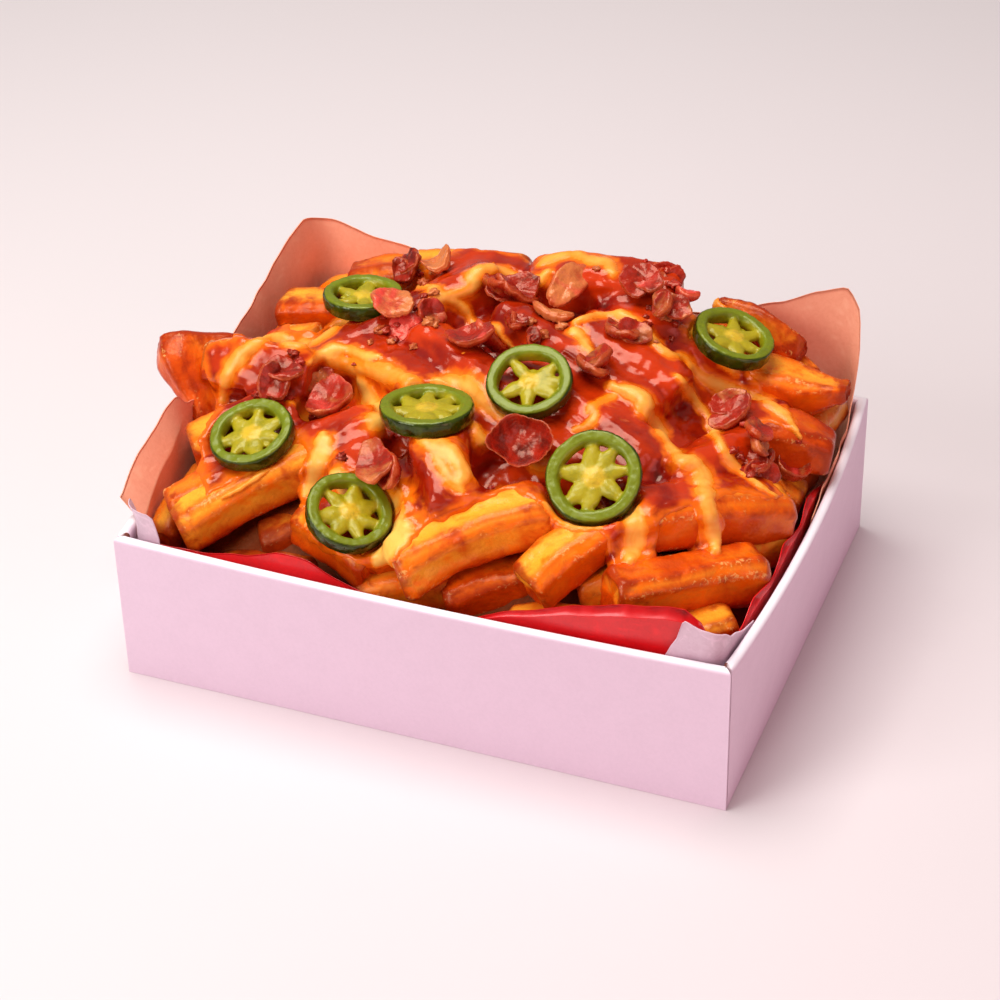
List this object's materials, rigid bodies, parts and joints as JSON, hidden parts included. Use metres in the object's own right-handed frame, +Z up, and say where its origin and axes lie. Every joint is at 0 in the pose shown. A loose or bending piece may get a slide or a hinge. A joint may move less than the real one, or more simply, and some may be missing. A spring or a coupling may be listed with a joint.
{
  "type": "box of loaded potato wedges",
  "caption": "Low white card box lined with brown and red paper, heaped with potato wedges under melted cheese, barbecue sauce, bacon bits and slices of green chilli pepper.",
  "frame": {"origin": "centre of the box's underside", "axes": "+X along the front wall to the right, +Y from the front wall to the rear wall, +Z up"},
  "size_m": [0.2, 0.1438, 0.093],
  "materials": {
    "card": "white coated card, satin outside, white rolled rim",
    "kraft_paper": "matte brown paper that looks pinkish beside red",
    "red_paper": "glossy red paper",
    "white_paper": "thin translucent white paper",
    "loaded_potato": "golden fried potato under glossy melted cheese and red-brown sauce",
    "green_chilli": "wet cut pepper with a dark green skin and a yellow-green inside",
    "bacon": "crisp fried bacon, dark red-brown to pink, with a greasy shine"
  },
  "bodies": {
    "root": {"box": "card", "liner_kraft": "kraft_paper", "liner_red": "red_paper", "flap_left": "white_paper", "flap_right": "white_paper", "wedges": "loaded_potato", "jalapeno_1": "green_chilli", "jalapeno_2": "green_chilli", "jalapeno_3": "green_chilli", "jalapeno_4": "green_chilli", "jalapeno_5": "green_chilli", "jalapeno_6": "green_chilli", "jalapeno_7": "green_chilli", "bacon_01": "bacon", "bacon_02": "bacon", "bacon_03": "bacon", "bacon_04": "bacon", "bacon_05": "bacon", "bacon_06": "bacon", "bacon_07": "bacon", "bacon_08": "bacon", "bacon_09": "bacon", "bacon_10": "bacon", "bacon_11": "bacon", "bacon_12": "bacon", "bacon_13": "bacon", "bacon_14": "bacon", "bacon_15": "bacon", "bacon_16": "bacon", "bacon_17": "bacon", "bacon_18": "bacon", "bacon_19": "bacon", "bacon_20": "bacon", "bacon_21": "bacon", "bacon_22": "bacon", "bacon_23": "bacon", "bacon_24": "bacon", "bacon_25": "bacon", "bacon_26": "bacon"}
  },
  "joints": []
}
